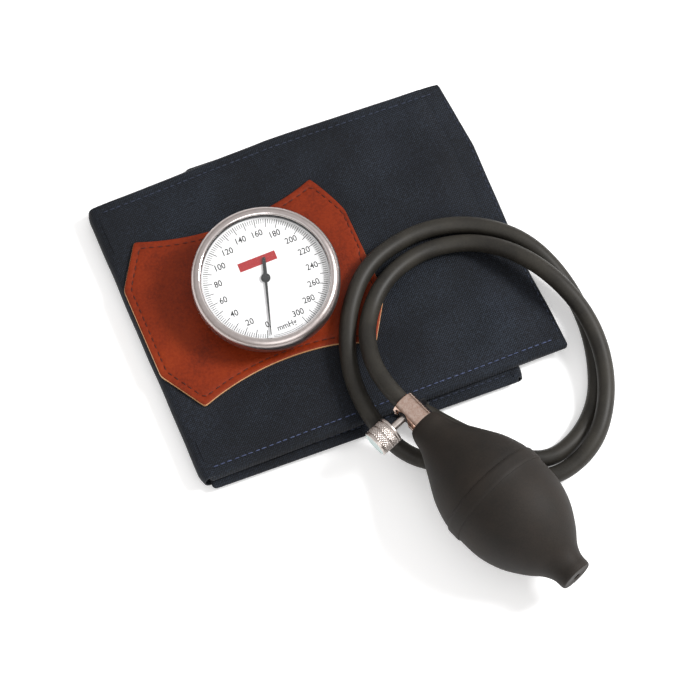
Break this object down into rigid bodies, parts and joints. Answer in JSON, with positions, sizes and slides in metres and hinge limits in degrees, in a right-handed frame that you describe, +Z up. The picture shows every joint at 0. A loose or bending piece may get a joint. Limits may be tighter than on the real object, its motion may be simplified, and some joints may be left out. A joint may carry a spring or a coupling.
{
  "type": "upper arm blood pressure monitor",
  "caption": "Folded fabric arm cuff with a round pressure gauge on a leather patch, joined by a looped rubber hose to a squeeze bulb with a knurled release valve.",
  "frame": {"origin": "middle of the footprint of cuff and bulb, on the surface they lie on", "axes": "+Z up out of the table, through the gauge's face; +X along the cuff's length towards its right fold; +Y across the cuff, away from the bulb"},
  "size_m": [0.1824, 0.2492, 0.0475],
  "materials": {
    "navy_nylon": "woven nylon, fine diagonal weave",
    "loop_pile": "brushed loop pile",
    "hook_pile": "moulded nylon hooks",
    "tan_leather": "orange-brown grained leather with stitched edge",
    "bladder_rubber": "smooth moulded rubber",
    "hose_rubber": "smooth rubber, soft sheen",
    "bulb_rubber": "matte moulded rubber",
    "seal_rubber": "soft black rubber",
    "chrome": "polished chrome plate",
    "nickel": "nickel plate, knurled on the knob",
    "dial_white": "matte white enamel with printed scale",
    "pointer_black": "matte black paint",
    "lens_glass": "clear flat glass",
    "movement_brass": "stamped brass",
    "spring_bronze": "spring bronze",
    "steel": "ground steel"
  },
  "bodies": {
    "cuff": {"cuff_outer_panel": "navy_nylon", "cuff_inner_panel": "navy_nylon", "hem_binding": "navy_nylon", "bladder": "bladder_rubber", "bladder_hose_port": "bladder_rubber", "bladder_gauge_port": "bladder_rubber", "left_fold": "navy_nylon", "leather_patch": "tan_leather", "gauge_stem": "chrome", "gauge_case": "chrome", "dial": "dial_white", "lens_gasket": "seal_rubber", "gauge_lens": "lens_glass", "gauge_bezel": "chrome", "pressure_capsule": "spring_bronze", "movement_plate": "movement_brass", "movement_bridge": "movement_brass", "movement_posts": "movement_brass", "rocker_bearings": "movement_brass", "hairspring": "spring_bronze", "valve_body": "chrome", "hose_barb": "nickel", "stem_packing": "seal_rubber", "outlet_valve_seat": "movement_brass", "bulb": "bulb_rubber", "inlet_valve_body": "nickel", "intake_screen": "steel", "hose": "hose_rubber"},
    "middle": {"middle_leaf": "navy_nylon", "loop_tape": "loop_pile", "right_fold": "navy_nylon"},
    "tail": {"tail_leaf": "navy_nylon", "hook_tape": "hook_pile"},
    "pointer": {"pointer": "pointer_black", "pointer_shaft": "steel"},
    "sector": {"sector_gear": "movement_brass"},
    "stud": {"capsule_stud": "spring_bronze"},
    "rocker": {"rocking_shaft": "steel"},
    "needle": {"valve_needle": "nickel"},
    "knob": {"release_knob": "nickel"},
    "outlet_disc": {"outlet_valve_disc": "seal_rubber"},
    "inlet_ball": {"inlet_valve_ball": "steel"},
    "thumb_wall": {"bulb_thumb_wall": "bulb_rubber"}
  },
  "joints": [
    {"name": "cuff_unfold", "type": "hinge", "parent": "cuff", "child": "middle", "pos_m": [-0.07913, 0.04963, 0.00645], "axis": [0, 1, 0], "range_deg": [0, 179], "deforming": ["left_fold"]},
    {"name": "tail_unfold", "type": "hinge", "parent": "middle", "child": "tail", "pos_m": [0.06036, 0.04456, 0.0026], "axis": [0.0227, 0.9997, 0], "range_deg": [-179, 0], "deforming": ["right_fold"]},
    {"name": "pointer_turn", "type": "hinge", "parent": "cuff", "child": "pointer", "pos_m": [-0.02625, 0.04906, 0.02768], "axis": [0.0632, 0.1525, -0.9863], "range_deg": [0, 323], "stiffness_Nm_per_rad": 0.00005, "springref_deg": -17.19},
    {"name": "sector_turn", "type": "hinge", "parent": "cuff", "child": "sector", "pos_m": [-0.04121, 0.05851, 0.02413], "axis": [0.0632, 0.1525, -0.9863], "range_deg": [-33, 0]},
    {"name": "stud_rise", "type": "slide", "parent": "cuff", "child": "stud", "axis": [-0.0632, -0.1525, 0.9863], "range_m": [0, 0.0006]},
    {"name": "rocker_turn", "type": "hinge", "parent": "cuff", "child": "rocker", "pos_m": [-0.02585, 0.05595, 0.02238], "axis": [0.998, -0.0097, 0.0624], "range_deg": [-6, 0]},
    {"name": "needle_travel", "type": "slide", "parent": "cuff", "child": "needle", "axis": [-0.9307, -0.3384, -0.139], "range_m": [0, 0.0012]},
    {"name": "knob_turn", "type": "hinge", "parent": "needle", "child": "knob", "pos_m": [-0.00833, -0.03608, 0.02426], "axis": [-0.9307, -0.3384, -0.139], "range_deg": [0, 540]},
    {"name": "outlet_disc_lift", "type": "slide", "parent": "cuff", "child": "outlet_disc", "axis": [-0.3481, 0.936, 0.0523], "range_m": [0, 0.0012]},
    {"name": "inlet_ball_lift", "type": "slide", "parent": "cuff", "child": "inlet_ball", "axis": [-0.3481, 0.936, 0.0523], "range_m": [0, 0.002]},
    {"name": "bulb_squeeze", "type": "slide", "parent": "cuff", "child": "thumb_wall", "axis": [-0.0182, 0.0491, -0.9986], "range_m": [0, 0.008], "stiffness_N_per_m": 600}
  ],
  "couplings": [
    {"joint": "tail_unfold", "follows": "cuff_unfold", "ratio": -1},
    {"joint": "sector_turn", "follows": "pointer_turn", "ratio": -0.1},
    {"joint": "stud_rise", "follows": "pointer_turn", "m_per_rad": 0.0001},
    {"joint": "rocker_turn", "follows": "pointer_turn", "ratio": -0.018},
    {"joint": "knob_turn", "follows": "needle_travel", "rad_per_m": 7853.9}
  ]
}
